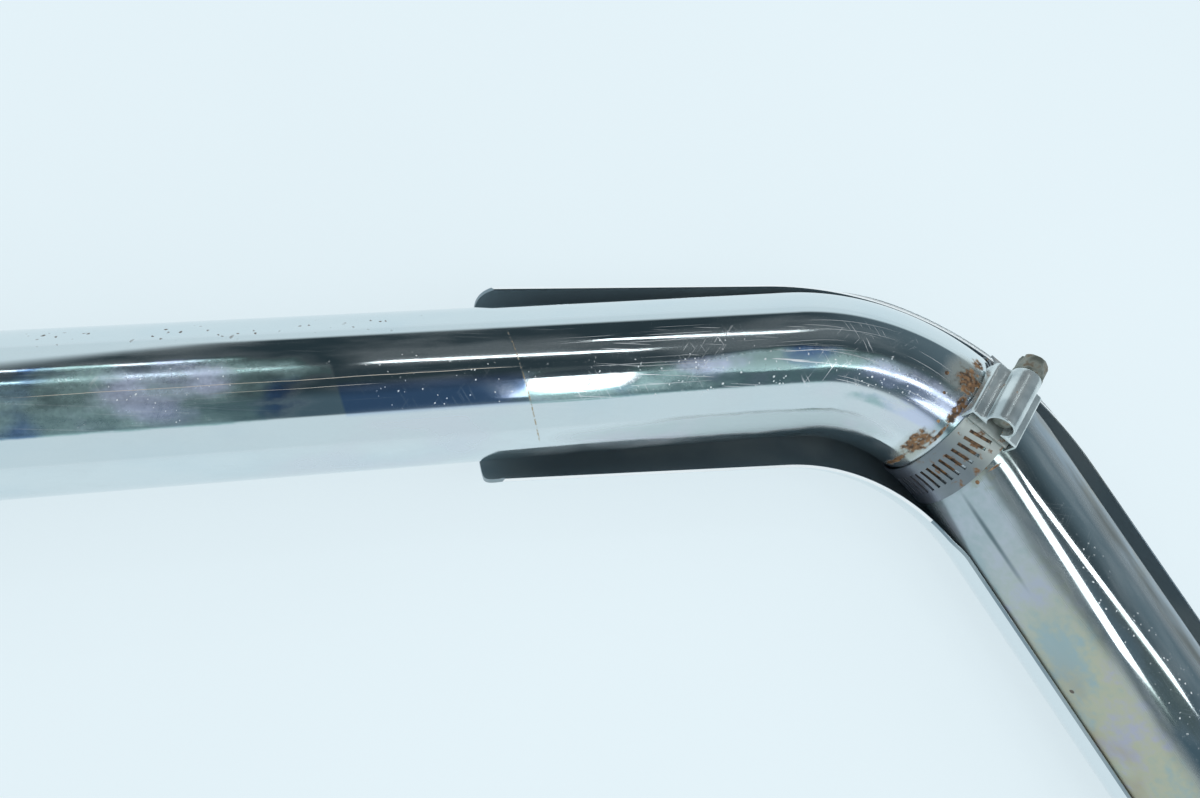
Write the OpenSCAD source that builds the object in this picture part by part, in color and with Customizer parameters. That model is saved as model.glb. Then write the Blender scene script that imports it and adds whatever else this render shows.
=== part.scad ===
// Motorcycle exhaust header: a bent chrome pipe with a half-round heat shield clamped under it.
// The pipe starts at the cylinder head's port and ends in a plain tail for the muffler.
// All lengths are in millimetres. The pipe's bends lie flat, in the plane z = 0, and the part lies
// on the crown of its heat shield. The origin is the centre of the port face, and the rear run
// points along -X.

/* [Pipe] */
// Outside diameter of the pipe
pipe_od = 44.45; // [42:0.05:48]
// Wall of the pipe
pipe_wall = 1.65; // [1.2:0.05:2.5]
// Straight run from the port face to the first bend
port_run = 72; // [70:1:95]
// Direction in which the pipe leaves the port, from +X
port_heading = 23; // [10:1:40]
// Turn of the bend below the port
port_bend_turn = 94; // [85:1:105]
// Centre line radius of the bend below the port
port_bend_r = 66; // [62:1:85]
// Straight run between the two bends
middle_run = 210; // [180:1:260]
// Centre line radius of the lower bend
lower_bend_r = 70; // [62:1:85]
// Straight run behind the lower bend, which takes the muffler
rear_run = 300; // [240:1:420]

/* [Port collar and flange] */
// Wall of the collar outside the pipe
collar_wall = 1.6; // [1.2:0.1:2.5]
// Length of the collar
collar_len = 22; // [20:0.5:26]
// Depth of the socket that the pipe stands in
collar_socket = 12; // [8:0.5:12]
// Distance from the port face to the retaining ring
ring_at = 4.5; // [3:0.1:5]
// Width of the retaining ring
ring_w = 1.9; // [1.5:0.1:2.4]
// Height of the retaining ring's section
ring_h = 3.2; // [2.8:0.1:4]
// Depth of the retaining ring's groove
groove_depth = 1.3; // [1:0.1:1.5]
// Opening of the retaining ring, in degrees
ring_split = 16; // [8:1:30]
// Thickness of the loose flange
flange_t = 7; // [5:0.5:8]
// Width of the flange outside its bore
flange_web = 4; // [3.5:0.1:8]
// Distance between the centres of the two stud holes
stud_pitch = 76; // [72:0.5:90]
// Diameter of the stud holes
stud_hole_d = 8.7; // [8:0.1:10]
// Width of metal round each stud hole
ear_wall = 6; // [4.5:0.5:8]
// Radial clearance between the loose flange and the collar
flange_clear = 0.3; // [0.2:0.05:0.6]

/* [Heat shield] */
// Air gap between the pipe and the shield when the two are in line
shield_gap = 5.8; // [5.6:0.1:9]
// Sheet thickness of the shield
shield_wall = 1; // [0.8:0.1:1.5]
// Height of the shield's rims above the pipe's centre line
shield_rise = 0.5; // [0:0.1:1.5]
// Straight length of the shield behind its own lower bend
shield_rear = 90.5; // [80:0.5:160]
// Distance from the port face to the front end of the shield
shield_front = 27; // [25:0.5:30]
// Radius of the curve that cuts off the shield's four end corners
shield_corner_r = 17; // [15:0.5:24]
// How far down from the rim each of those curves reaches
shield_corner_drop = 12; // [6:0.5:14]
// How far the shield's lower corner has slid past the pipe's, along the rear run
shield_slide = 7.3; // [6:0.1:7.8]
// How far the shield's lower corner sits inside the line of the rear run
shield_tuck = 4.9; // [4.5:0.1:5.2]
// How far the shield's front corner has slid away from the port
shield_slip = 4.2; // [3.6:0.1:4.4]
// Angle between the shield and the rear run
shield_skew = 2.1; // [1.8:0.1:2.4]
// How much wider the shield turns round the lower bend than the pipe does
shield_spread = 21.5; // [19:0.5:23]

/* [Clamp brackets] */
// Sheet thickness of the brackets inside the shield
bracket_t = 0.8; // [0.6:0.1:1]
// Width of a bracket across the pipe
bracket_w = 11; // [8:0.5:12]
// Spare length on each side of the band in the bracket's tunnel
tunnel_spare = 1.2; // [0.8:0.1:2.5]
// Length of each bracket foot
foot_len = 8; // [5:0.5:9]

/* [Clamps] */
// Width of the clamp band
band_w = 14.2; // [12.7:0.1:14.3]
// Thickness of the clamp band
band_t = 0.65; // [0.5:0.05:0.8]
// Distance between slots along the band
slot_pitch = 2.54; // [2.4:0.02:3.2]
// Width of a slot
slot_w = 1; // [0.7:0.05:1.3]
// Length of a slot across the band
slot_len = 7.2; // [6:0.1:9]
// Slant of the slots
slot_slant = 10; // [4:1:14]
// Number of slots in each band
slot_count = 22; // [10:1:26]
// Length of the housing along the band
housing_len = 20; // [17:0.5:21]
// Sheet thickness of the housing and its saddle
housing_t = 0.8; // [0.6:0.05:1]
// Outside diameter of the worm screw's thread
screw_d = 7.3; // [6.5:0.1:8]
// Width of the screw's hexagon head across its flats
hex_w = 7.94; // [7:0.02:9]
// Length of the hexagon head
hex_len = 5.5; // [4:0.1:7]
// Place of the first clamp: how far round the lower bend it sits, in degrees from the middle run
lower_clamp_at = 14; // [8:1:22]
// Place of the second clamp: its distance from the bend below the port
middle_clamp_at = 34; // [28:1:50]
// Place of the third clamp: its distance from the port face
port_clamp_at = 46; // [45:0.5:50]
// How far the first clamp is turned out of square with the pipe
clamp_skew = 5; // [0:0.5:7]
// How far the first clamp leans towards the port
clamp_lean = 3; // [0:0.5:5]

/* [Hidden] */
$fn = 96;

// Small gap left between two faces that seat on each other
seat = 0.05;
// Loose gap round the worm screw and between the clamp's folded sheets
slack = 0.15;
// A length longer than any cut has to be
reach = 80;
// The tube draws down by this much in its bends
bend_draw = 0.02;
// The straight stretches reach this far into the bends
bend_lap = 0.3;

pipe_r = pipe_od / 2;
rear_heading = 180;
middle_heading = port_heading + port_bend_turn;
lower_bend_turn = rear_heading - middle_heading;

collar_r = pipe_r + seat + collar_wall;
pipe_start = collar_len - collar_socket + seat;
groove_floor_r = collar_r - groove_depth;
ring_side_gap = 0.15;
flange_at = ring_at + ring_w + slack;
flange_bore_r = collar_r + flange_clear;
flange_r = flange_bore_r + flange_web;
ear_r = stud_hole_d / 2 + ear_wall;
weld_leg = 2.2;

shield_bend_r = lower_bend_r + shield_spread;
shield_in_r = pipe_r + shield_gap;
shield_out_r = shield_in_r + shield_wall;

// The band passes under the bracket, so its ring is a little larger and lower than the pipe
band_drop = (bracket_t + seat) / 2;
band_in_r = pipe_r + seat + band_drop;
band_out_r = band_in_r + band_t;
saddle_in_r = band_out_r + seat;
saddle_out_r = saddle_in_r + housing_t;
tail_in_r = saddle_out_r + seat;
tail_out_r = tail_in_r + band_t;
screw_z = tail_out_r + seat + screw_d / 2;
thread_depth = 0.6;
barrel_in_r = screw_d / 2 + slack;
barrel_out_r = barrel_in_r + housing_t;
saddle_w = band_w + 2 * (seat + housing_t);
housing_w = saddle_w + 2 * (seat + housing_t);
saddle_top_r = tail_out_r + housing_t;
half_housing = asin(housing_len / 2 / band_out_r);
// Angles from the middle of the housing, positive towards the screw's head
joggle_from = -half_housing + 1;
joggle_to = joggle_from + 3;
saddle_from = joggle_to + 2;
saddle_to = half_housing - 1;
tail_to = half_housing + 26;
slot_from = half_housing + 3;
slot_step = slot_pitch / band_in_r * 180 / PI;
tunnel = band_w + 2 * tunnel_spare;

function unit(angle) = [cos(angle), sin(angle)];
function tangent_len(r, turn) = r * tan(turn / 2);
function bend_centre(corner, heading, r, turn) =
    corner - tangent_len(r, turn) * unit(heading) + r * unit(heading + 90);

// A path is [first corner, second corner, three headings, two bend radii, front and rear straights]
port_corner = (port_run + tangent_len(port_bend_r, port_bend_turn)) * unit(port_heading);
lower_corner = port_corner + (tangent_len(port_bend_r, port_bend_turn) + middle_run
    + tangent_len(lower_bend_r, lower_bend_turn)) * unit(middle_heading);
pipe_path = [port_corner, lower_corner, [port_heading, middle_heading, rear_heading],
    [port_bend_r, lower_bend_r], port_run - pipe_start, rear_run];

shield_port_corner = port_corner + shield_slip * unit(port_heading);
shield_lower_corner = lower_corner + [shield_slide, -shield_tuck];
shield_leg = shield_lower_corner - shield_port_corner;
shield_middle_heading = atan2(shield_leg[1], shield_leg[0]);
shield_port_turn = shield_middle_heading - port_heading;
shield_rear_heading = rear_heading - shield_skew;
shield_path = [shield_port_corner, shield_lower_corner,
    [port_heading, shield_middle_heading, shield_rear_heading], [port_bend_r, shield_bend_r],
    norm(shield_port_corner) - tangent_len(port_bend_r, shield_port_turn) - shield_front, shield_rear];

lower_centre = bend_centre(lower_corner, middle_heading, lower_bend_r, lower_bend_turn);
shield_centre = bend_centre(shield_lower_corner, shield_middle_heading, shield_bend_r,
    shield_rear_heading - shield_middle_heading);

// Where each clamp sits: [point, heading, skew, lean, angle of its housing from the top,
// a point on the shield's line there and its heading, or else the centres of the two bends]
lower_clamp = [lower_centre + lower_bend_r * unit(middle_heading - 90 + lower_clamp_at),
    middle_heading + lower_clamp_at, clamp_skew, -clamp_lean, 8, lower_centre, shield_centre, true];
middle_clamp = [port_corner + (tangent_len(port_bend_r, port_bend_turn) + middle_clamp_at)
    * unit(middle_heading), middle_heading, 0, 0, -20, shield_port_corner, shield_middle_heading, false];
port_clamp = [port_clamp_at * unit(port_heading), port_heading, 0, 0, 30,
    shield_port_corner, port_heading, false];

// A round bar that runs on from a point, its ends moved back and on by the two laps
module straight(start, heading, len, r, back = 0, on = 0) {
    translate([start[0], start[1], 0]) rotate([0, 0, heading]) rotate([0, 90, 0])
        translate([0, 0, -back]) cylinder(r = r, h = len + back + on);
}

// A round bar that turns left through one bend before a corner's second leg
module bend(corner, heading, bend_r, turn, r) {
    centre = bend_centre(corner, heading, bend_r, turn);
    translate([centre[0], centre[1], 0]) rotate([0, 0, heading - 90])
        rotate_extrude(angle = turn) translate([bend_r, 0]) circle(r - bend_draw);
}

// A solid bar of this radius along a whole path
module bar(path, r, ends = 0) {
    heading = path[2];
    bend_r = path[3];
    turn = [heading[1] - heading[0], heading[2] - heading[1]];
    cut = [tangent_len(bend_r[0], turn[0]), tangent_len(bend_r[1], turn[1])];
    straight(path[0] - (path[4] + cut[0]) * unit(heading[0]), heading[0], path[4], r, ends, bend_lap);
    bend(path[0], heading[0], bend_r[0], turn[0], r);
    straight(path[0] + cut[0] * unit(heading[1]), heading[1],
        norm(path[1] - path[0]) - cut[0] - cut[1], r, bend_lap, bend_lap);
    bend(path[1], heading[1], bend_r[1], turn[1], r);
    straight(path[1] + cut[1] * unit(heading[2]), heading[2], path[5], r, bend_lap, ends);
}

module header_pipe() {
    color("silver") difference() {
        bar(pipe_path, pipe_r);
        bar(pipe_path, pipe_r - pipe_wall, 1);
    }
}

// Puts a turned piece on the port's axis, with its +Z along the pipe
module on_port(at) {
    rotate([0, 0, port_heading]) rotate([0, 90, 0]) translate([0, 0, at]) children();
}

module port_collar() {
    bore_r = pipe_r - pipe_wall;
    shoulder = collar_len - collar_socket;
    groove_from = ring_at - ring_side_gap;
    groove_to = ring_at + ring_w + ring_side_gap;
    color("gainsboro") on_port(0) rotate_extrude() polygon([
        [bore_r, 0], [collar_r - 0.4, 0], [collar_r, 0.4],
        [collar_r, groove_from], [groove_floor_r, groove_from],
        [groove_floor_r, groove_to], [collar_r, groove_to],
        [collar_r, collar_len], [pipe_r + seat + weld_leg * 0.5, collar_len + weld_leg * 0.3],
        [pipe_r + seat, collar_len + weld_leg],
        [pipe_r + seat, shoulder], [bore_r, shoulder]]);
}

module retaining_ring() {
    color("dimgray") on_port(ring_at) rotate([0, 0, ring_split / 2])
        rotate_extrude(angle = 360 - ring_split)
        translate([groove_floor_r + seat, 0]) square([ring_h, ring_w]);
}

// Loose two-stud flange, its ears level with the pipe's plane
module port_flange() {
    half_pitch = stud_pitch / 2;
    lean = acos((flange_r - ear_r) / half_pitch);
    color("silver") on_port(flange_at) rotate([0, 0, 90]) difference() {
        union() {
            cylinder(r = flange_r, h = flange_t);
            for (side = [-1, 1]) {
                translate([side * half_pitch, 0, 0]) cylinder(r = ear_r, h = flange_t);
                linear_extrude(flange_t) polygon([
                    [side * flange_r * cos(lean), flange_r * sin(lean)],
                    [side * (half_pitch + ear_r * cos(lean)), ear_r * sin(lean)],
                    [side * (half_pitch + ear_r * cos(lean)), -ear_r * sin(lean)],
                    [side * flange_r * cos(lean), -flange_r * sin(lean)]]);
            }
        }
        translate([0, 0, -1]) cylinder(r = flange_bore_r, h = flange_t + 2);
        for (side = [-1, 1])
            translate([side * half_pitch, 0, -1]) cylinder(d = stud_hole_d, h = flange_t + 2);
    }
}

// Rounds the two rim corners at an end of the shield, seen from the side
module corner_cut(at, heading) {
    translate([at[0], at[1], shield_rise - shield_corner_drop]) rotate([0, 0, heading]) difference() {
        translate([-shield_corner_r, -reach / 2, 0])
            cube([shield_corner_r + 1, reach, shield_corner_r + 1]);
        translate([-shield_corner_r, reach, 0]) rotate([90, 0, 0])
            cylinder(r = shield_corner_r, h = 2 * reach);
    }
}

module heat_shield() {
    rear_turn = shield_rear_heading - shield_middle_heading;
    rear_end = shield_lower_corner
        + (tangent_len(shield_bend_r, rear_turn) + shield_rear) * unit(shield_rear_heading);
    front_end = shield_front * unit(port_heading);
    color("lightsteelblue") difference() {
        translate([0, 0, shield_rise]) bar(shield_path, shield_out_r);
        translate([0, 0, shield_rise]) bar(shield_path, shield_in_r, 1);
        translate([-2 * rear_run, -rear_run, shield_rise]) cube([4 * rear_run, 4 * rear_run, reach]);
        corner_cut(rear_end, shield_rear_heading);
        corner_cut(front_end, port_heading + 180);
    }
}

// Frame of a clamp: X along the pipe, Z out through the middle of the screw housing
module at_clamp(clamp, turned = true) {
    translate([clamp[0][0], clamp[0][1], 0]) rotate([0, 0, clamp[1] + clamp[2]])
        rotate([0, clamp[3], 0]) rotate([turned ? clamp[4] : 0, 0, 0]) children();
}

// Two mirrored copies, along the pipe on either side of a clamp
module both_sides() {
    children();
    mirror([1, 0, 0]) children();
}

// A solid bar of this radius along the pipe beside a clamp
module pipe_near(clamp, r) {
    if (clamp[7])
        ring_bar(clamp[5], lower_bend_r, r);
    else
        translate([clamp[0][0], clamp[0][1], 0]) rotate([0, 0, clamp[1]]) rotate([0, 90, 0])
            cylinder(r = r, h = 2 * reach, center = true);
}

// A solid bar of this radius along the shield's own centre line beside a clamp
module shield_near(clamp, r) {
    translate([0, 0, shield_rise])
        if (clamp[7])
            ring_bar(clamp[6], shield_bend_r, r);
        else
            translate([clamp[5][0], clamp[5][1], 0]) rotate([0, 0, clamp[6]]) rotate([0, 90, 0])
                cylinder(r = r, h = 2 * norm(shield_leg), center = true);
}

module ring_bar(centre, bend_r, r) {
    translate([centre[0], centre[1], 0]) rotate_extrude() translate([bend_r, 0]) circle(r);
}

// The space between two radii round the band's own centre line, which is a little below the pipe's
module band_layer(clamp, r_in, r_out) {
    translate([0, 0, -band_drop]) difference() {
        pipe_near(clamp, r_out);
        pipe_near(clamp, r_in);
    }
}

// Hat-shaped strip welded inside the shield. It bears on the pipe, and the band runs through it.
module bracket(clamp) {
    pad_in_r = pipe_r + seat;
    foot_out_r = shield_in_r - seat;
    color("slategray") difference() {
        union() {
            intersection() {
                pipe_near(clamp, pad_in_r + bracket_t);
                bracket_block(clamp, 0, tunnel / 2 + bracket_t);
            }
            intersection() {
                shield_near(clamp, foot_out_r);
                bracket_block(clamp, tunnel / 2, tunnel / 2 + bracket_t);
            }
            difference() {
                intersection() {
                    shield_near(clamp, foot_out_r);
                    bracket_block(clamp, tunnel / 2, tunnel / 2 + foot_len);
                }
                shield_near(clamp, foot_out_r - bracket_t);
            }
        }
        pipe_near(clamp, pad_in_r);
    }
}

// The part of a bracket's strip that lies between two distances from the middle of the clamp
module bracket_block(clamp, from, to) {
    at_clamp(clamp, false) both_sides() translate([from, -bracket_w / 2, -reach])
        cube([to - from, bracket_w, reach]);
}

// Wedge of a clamp's ring between two angles from its housing, this wide along the pipe
module sector(from, to, width) {
    steps = ceil((to - from) / 30);
    rim = [for (i = [0 : steps]) let (a = from + (to - from) * i / steps)
        reach * [-sin(a), cos(a)]];
    translate([-width / 2, 0, 0]) rotate([90, 0, 90]) linear_extrude(width)
        polygon(concat([[0, 0]], rim));
}

// Slotted strip: once round the pipe, then up a step and out over itself through the housing
module clamp_band(clamp) {
    color("lightgray") difference() {
        union() {
            intersection() {
                band_layer(clamp, band_in_r, band_out_r);
                at_clamp(clamp) cube([band_w, reach, reach], center = true);
            }
            intersection() {
                band_layer(clamp, band_in_r, tail_out_r);
                at_clamp(clamp) sector(joggle_from, joggle_to, band_w);
            }
            intersection() {
                band_layer(clamp, tail_in_r, tail_out_r);
                at_clamp(clamp) sector(joggle_from, tail_to, band_w);
            }
        }
        at_clamp(clamp) for (i = [0 : slot_count - 1]) rotate([-slot_from - i * slot_step, 0, 0])
            translate([0, 0, band_in_r]) rotate([0, 0, slot_slant])
            cube([slot_len, slot_w, 6], center = true);
    }
}

// Curved channel that the free end of the band slides in, under the screw
module clamp_saddle(clamp) {
    color("darkgray") difference() {
        intersection() {
            band_layer(clamp, saddle_in_r, saddle_top_r);
            at_clamp(clamp) sector(saddle_from, saddle_to, saddle_w);
        }
        intersection() {
            band_layer(clamp, saddle_out_r, saddle_top_r + 1);
            at_clamp(clamp) cube([band_w + 2 * seat, reach, reach], center = true);
        }
    }
}

// Folded cover: a round barrel for the screw with skirts that come down outside the saddle
module clamp_housing(clamp) {
    roof_z = saddle_top_r + slack - band_drop;
    axis_z = screw_z - band_drop;
    shoulder_x = barrel_out_r * 0.95;
    shoulder_z = axis_z - barrel_out_r * 0.1;
    skirt_z = pipe_r * 0.7;
    color("silver") difference() {
        at_clamp(clamp) rotate([90, 0, 0]) difference() {
            union() {
                translate([0, axis_z, 0]) cylinder(r = barrel_out_r, h = housing_len, center = true);
                linear_extrude(housing_len, center = true) polygon([
                    [-housing_w / 2, skirt_z], [-housing_w / 2, roof_z + housing_t / 2],
                    [-shoulder_x, shoulder_z], [shoulder_x, shoulder_z],
                    [housing_w / 2, roof_z + housing_t / 2], [housing_w / 2, skirt_z]]);
            }
            translate([0, axis_z, 0]) cylinder(r = barrel_in_r, h = housing_len + 2, center = true);
            translate([0, roof_z / 2, 0])
                cube([saddle_w + 2 * seat, roof_z, housing_len + 2], center = true);
        }
        pipe_near(clamp, pipe_r + 4 * seat);
    }
}

// Worm screw with a slotted hexagon head
module clamp_screw(clamp) {
    thread_r = screw_d / 2;
    root_r = thread_r - thread_depth;
    tip_recess = 1.2;
    turns = floor((housing_len - 2 * tip_recess) / slot_pitch);
    thread_from = -turns * slot_pitch / 2;
    hex_r = hex_w / sqrt(3);
    color("gray") at_clamp(clamp) translate([0, 0, screw_z - band_drop]) rotate([90, 0, 0])
        difference() {
            union() {
                translate([0, 0, tip_recess - housing_len / 2]) cylinder(r = root_r, h = housing_len + 1 - tip_recess);
                rotate_extrude() polygon(concat([[0, thread_from]],
                    [for (i = [0 : turns - 1]) for (p = [[root_r, 0], [thread_r, 0.35],
                        [thread_r, 0.5], [root_r, 0.85]])
                        [p[0], thread_from + (i + p[1]) * slot_pitch]],
                    [[root_r, -thread_from], [0, -thread_from]]));
                translate([0, 0, housing_len / 2 + seat]) cylinder(r = hex_r, h = 1);
                translate([0, 0, housing_len / 2 + seat + 1]) cylinder(r = hex_r, h = hex_len, $fn = 6);
            }
            translate([-hex_w, -0.65, housing_len / 2 + hex_len - 0.8]) cube([2 * hex_w, 1.3, 3]);
        }
}

header_pipe();
port_collar();
retaining_ring();
port_flange();
heat_shield();
bracket(lower_clamp);  // lower_bracket
bracket(middle_clamp);  // middle_bracket
bracket(port_clamp);  // port_bracket
clamp_band(lower_clamp);  // lower_clamp_band
clamp_saddle(lower_clamp);  // lower_clamp_saddle
clamp_housing(lower_clamp);  // lower_clamp_housing
clamp_screw(lower_clamp);  // lower_clamp_screw
clamp_band(middle_clamp);  // middle_clamp_band
clamp_saddle(middle_clamp);  // middle_clamp_saddle
clamp_housing(middle_clamp);  // middle_clamp_housing
clamp_screw(middle_clamp);  // middle_clamp_screw
clamp_band(port_clamp);  // port_clamp_band
clamp_saddle(port_clamp);  // port_clamp_saddle
clamp_housing(port_clamp);  // port_clamp_housing
clamp_screw(port_clamp);  // port_clamp_screw
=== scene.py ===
import math

import bmesh
import bpy
from mathutils import Matrix, Vector


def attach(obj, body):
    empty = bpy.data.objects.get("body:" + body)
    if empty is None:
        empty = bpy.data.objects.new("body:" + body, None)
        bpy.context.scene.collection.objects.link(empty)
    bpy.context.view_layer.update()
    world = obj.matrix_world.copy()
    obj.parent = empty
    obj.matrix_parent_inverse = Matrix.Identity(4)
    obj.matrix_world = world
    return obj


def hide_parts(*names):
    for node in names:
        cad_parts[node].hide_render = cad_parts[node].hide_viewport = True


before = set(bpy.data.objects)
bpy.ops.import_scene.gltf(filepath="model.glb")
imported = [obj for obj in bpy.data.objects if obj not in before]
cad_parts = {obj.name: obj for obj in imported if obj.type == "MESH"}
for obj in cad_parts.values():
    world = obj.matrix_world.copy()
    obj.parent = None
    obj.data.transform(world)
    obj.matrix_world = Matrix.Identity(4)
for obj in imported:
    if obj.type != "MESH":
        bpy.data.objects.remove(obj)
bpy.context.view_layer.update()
MM = 0.001

# Camera
# It stands over the rear run of the pipe and looks down at the lower bend, a little tilted,
# with a lens that shows the bend, its clamp and most of the rear run.
camera_data = bpy.data.cameras.new("camera")
camera_data.sensor_width = 36
camera_data.lens = 31.1
camera_data.clip_start = 0.01
camera = bpy.data.objects.new("camera", camera_data)
bpy.context.scene.collection.objects.link(camera)
camera_at = Vector((-0.185975, 0.275739, 0.292343))
to_right = Vector((0.972815, -0.113797, 0.201698)).normalized()
to_top = Vector((0.067998, 0.972912, 0.220949)).normalized()
to_back = to_right.cross(to_top)
camera.matrix_world = Matrix((
    (to_right.x, to_top.x, to_back.x, camera_at.x),
    (to_right.y, to_top.y, to_back.y, camera_at.y),
    (to_right.z, to_top.z, to_back.z, camera_at.z),
    (0, 0, 0, 1)))
bpy.context.scene.camera = camera
bpy.context.scene.view_settings.view_transform = "Standard"


# Table
# The header lies on a pale blue-white sheet, smooth and matt, with a few faint marks.
class Nodes:
    """One node tree. Each call adds a node, feeds its inputs and gives back its output."""

    def __init__(self, tree):
        self.tree = tree

    def add(self, kind, *inputs, **settings):
        node = self.tree.nodes.new(kind)
        for key, value in settings.items():
            setattr(node, key, value)
        for index, value in enumerate(inputs):
            self.feed(node.inputs[index], value)
        return node.outputs[0]

    def feed(self, socket, value):
        if isinstance(value, bpy.types.NodeSocket):
            self.tree.links.new(value, socket)
        elif value is not None:
            socket.default_value = value

    def math(self, operation, *values):
        return self.add("ShaderNodeMath", *values, operation=operation)

    def ramp(self, value, low, high):
        """0 where value is under low, 1 over high, smooth between; high may be the lower one."""
        node = self.tree.nodes.new("ShaderNodeMapRange")
        node.interpolation_type = "SMOOTHSTEP"
        self.feed(node.inputs["Value"], value)
        ends = (low, high, 0, 1) if low < high else (high, low, 1, 0)
        for name, end in zip(("From Min", "From Max", "To Min", "To Max"), ends):
            node.inputs[name].default_value = end
        return node.outputs["Result"]

    def noise(self, place, scale, detail=3, stretch=None):
        if stretch:
            place = self.add("ShaderNodeVectorMath", place, stretch, operation="MULTIPLY")
        node = self.tree.nodes.new("ShaderNodeTexNoise")
        self.feed(node.inputs["Vector"], place)
        node.inputs["Scale"].default_value = scale
        node.inputs["Detail"].default_value = detail
        return node.outputs["Fac"]

    def mix(self, factor, under, over):
        node = self.tree.nodes.new("ShaderNodeMix")
        node.data_type = "RGBA"
        self.feed(node.inputs["Factor"], factor)
        for socket, colour in ((node.inputs[6], under), (node.inputs[7], over)):
            self.feed(socket, colour if isinstance(colour, bpy.types.NodeSocket) else (*colour, 1))
        return node.outputs[2]

    def most(self, *values):
        """The largest of several masks."""
        top = values[0]
        for value in values[1:]:
            top = self.math("MAXIMUM", top, value)
        return top

    def both(self, *values):
        """Several masks, or a mask and a share of it, multiplied."""
        product = values[0]
        for value in values[1:]:
            product = self.math("MULTIPLY", product, value)
        return product

    def outside(self, mask):
        """1 where the mask is 0."""
        return self.math("SUBTRACT", 1, mask)

    def added(self, first, second):
        return self.math("ADD", first, second)


class Finish(Nodes):
    """A procedural material."""

    def __init__(self, name):
        self.material = bpy.data.materials.new(name)
        self.material.use_nodes = True
        super().__init__(self.material.node_tree)
        self.shader = self.tree.nodes["Principled BSDF"]

    def set(self, **values):
        names = {"colour": "Base Color", "metal": "Metallic", "rough": "Roughness", "normal": "Normal",
                 "gloss": "Specular IOR Level"}
        for key, value in values.items():
            if key == "colour" and isinstance(value, tuple):
                value = (*value, 1)
            self.feed(self.shader.inputs[names[key]], value)

    def place(self):
        return self.add("ShaderNodeTexCoord").node.outputs["Object"]

    def bump(self, height, distance):
        node = self.tree.nodes.new("ShaderNodeBump")
        node.inputs["Strength"].default_value = 1.0
        node.inputs["Distance"].default_value = distance
        self.feed(node.inputs["Height"], height)
        return node.outputs["Normal"]


LIES_AT = -28.53 * MM
TABLE_GAP = 0.1 * MM
TABLE_SIZE = 7
bpy.ops.mesh.primitive_plane_add(size=TABLE_SIZE, location=(0, 0.2, LIES_AT - TABLE_GAP))
table = bpy.context.object
table.name = "table"
sheet = Finish("pale_sheet")
cloud = sheet.noise(sheet.place(), 6, 3)
paper = sheet.mix(cloud, (0.77, 0.88, 0.93), (0.80, 0.91, 0.96))
sheet.set(colour=paper, rough=0.9, gloss=0.1)
# To the eye and in the chrome, the sheet is mostly evenly lit paper. Its shadows are the rest.
EVENLY_LIT = 0.72
seen = sheet.add("ShaderNodeLightPath").node
seen = sheet.most(seen.outputs["Is Camera Ray"], seen.outputs["Is Glossy Ray"])
glow = sheet.add("ShaderNodeEmission", paper, 1.0)
blend = sheet.add("ShaderNodeMixShader", sheet.both(seen, EVENLY_LIT),
                  sheet.shader.outputs["BSDF"], glow)
sheet.feed(sheet.tree.nodes["Material Output"].inputs["Surface"], blend)
table.data.materials.append(sheet.material)


# Studio light
# Strip lamps hang over the table and one soft lamp hangs close over the bend. The ceiling between
# them is dark, the walls low down are bright, and everything else gets plain even daylight.
def lamp(name, middle, length, width, heading, radiance):
    """A flat lamp that faces straight down, turned by its heading in degrees."""
    data = bpy.data.lights.new(name, "AREA")
    data.shape = "RECTANGLE"
    data.size = length
    data.size_y = width
    data.energy = radiance * math.pi * length * width
    data.color = (0.95, 0.99, 1.0)
    light = bpy.data.objects.new(name, data)
    light.location = middle
    light.rotation_euler = (0, 0, math.radians(heading))
    bpy.context.scene.collection.objects.link(light)


lamp("lamp_far_left", (-0.66, 1.39, 1.0), 0.50, 0.05, -7, 5)
lamp("lamp_far_right", (0.34, 1.20, 1.0), 0.34, 0.06, -25, 5)
lamp("lamp_near_left", (-0.54, 0.89, 1.0), 0.52, 0.04, -6, 5)
lamp("lamp_near_right", (0.01, 0.82, 1.0), 0.37, 0.045, -17, 5)
lamp("lamp_right", (0.165, 0.20, 0.40), 0.22, 0.035, -26, 4)
lamp("lamp_bend", (-0.02, 0.12, 0.515), 0.085, 0.27, 0, 3)

world = bpy.data.worlds.new("studio")
bpy.context.scene.world = world
world.use_nodes = True
sky = Nodes(world.node_tree)
look = sky.add("ShaderNodeSeparateXYZ", sky.add("ShaderNodeTexCoord").node.outputs["Generated"]).node
look_x, look_y, look_z = look.outputs
height = sky.math("MAXIMUM", look_z, 0.001)
to_camera_side = sky.math("DIVIDE", sky.math("MULTIPLY", look_y, -1), height)
to_left = sky.math("DIVIDE", sky.math("MULTIPLY", look_x, -1), height)
far_low = sky.math("DIVIDE", look_z, sky.math("MAXIMUM", look_y, 0.001))
dark_ceiling, right_ceiling, near_ceiling = (0.026, 0.043, 0.052), (0.12, 0.17, 0.20), (0.07, 0.115, 0.145)
bright_wall, bright_floor = (0.70, 0.81, 0.86), (0.78, 0.88, 0.93)
daylight, backdrop = (0.88, 0.90, 0.91), (0.80, 0.905, 0.955)
ceiling = sky.mix(sky.ramp(look_x, 0.30, 0.85), dark_ceiling, right_ceiling)
ceiling = sky.mix(sky.ramp(to_camera_side, 0.02, 0.4), ceiling, near_ceiling)
far_wall = sky.both(sky.ramp(look_y, 0.1, 0.4), sky.ramp(far_low, 0.3, 0.2))
bright = sky.most(sky.ramp(to_camera_side, 0.88, 0.98), sky.ramp(to_left, 0.40, 0.75), far_wall)
studio = sky.mix(bright, ceiling, bright_wall)
studio = sky.mix(sky.ramp(look_z, 0.06, -0.02), studio, bright_floor)
ray = sky.add("ShaderNodeLightPath").node
light = sky.mix(ray.outputs["Is Glossy Ray"], daylight, studio)
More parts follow.
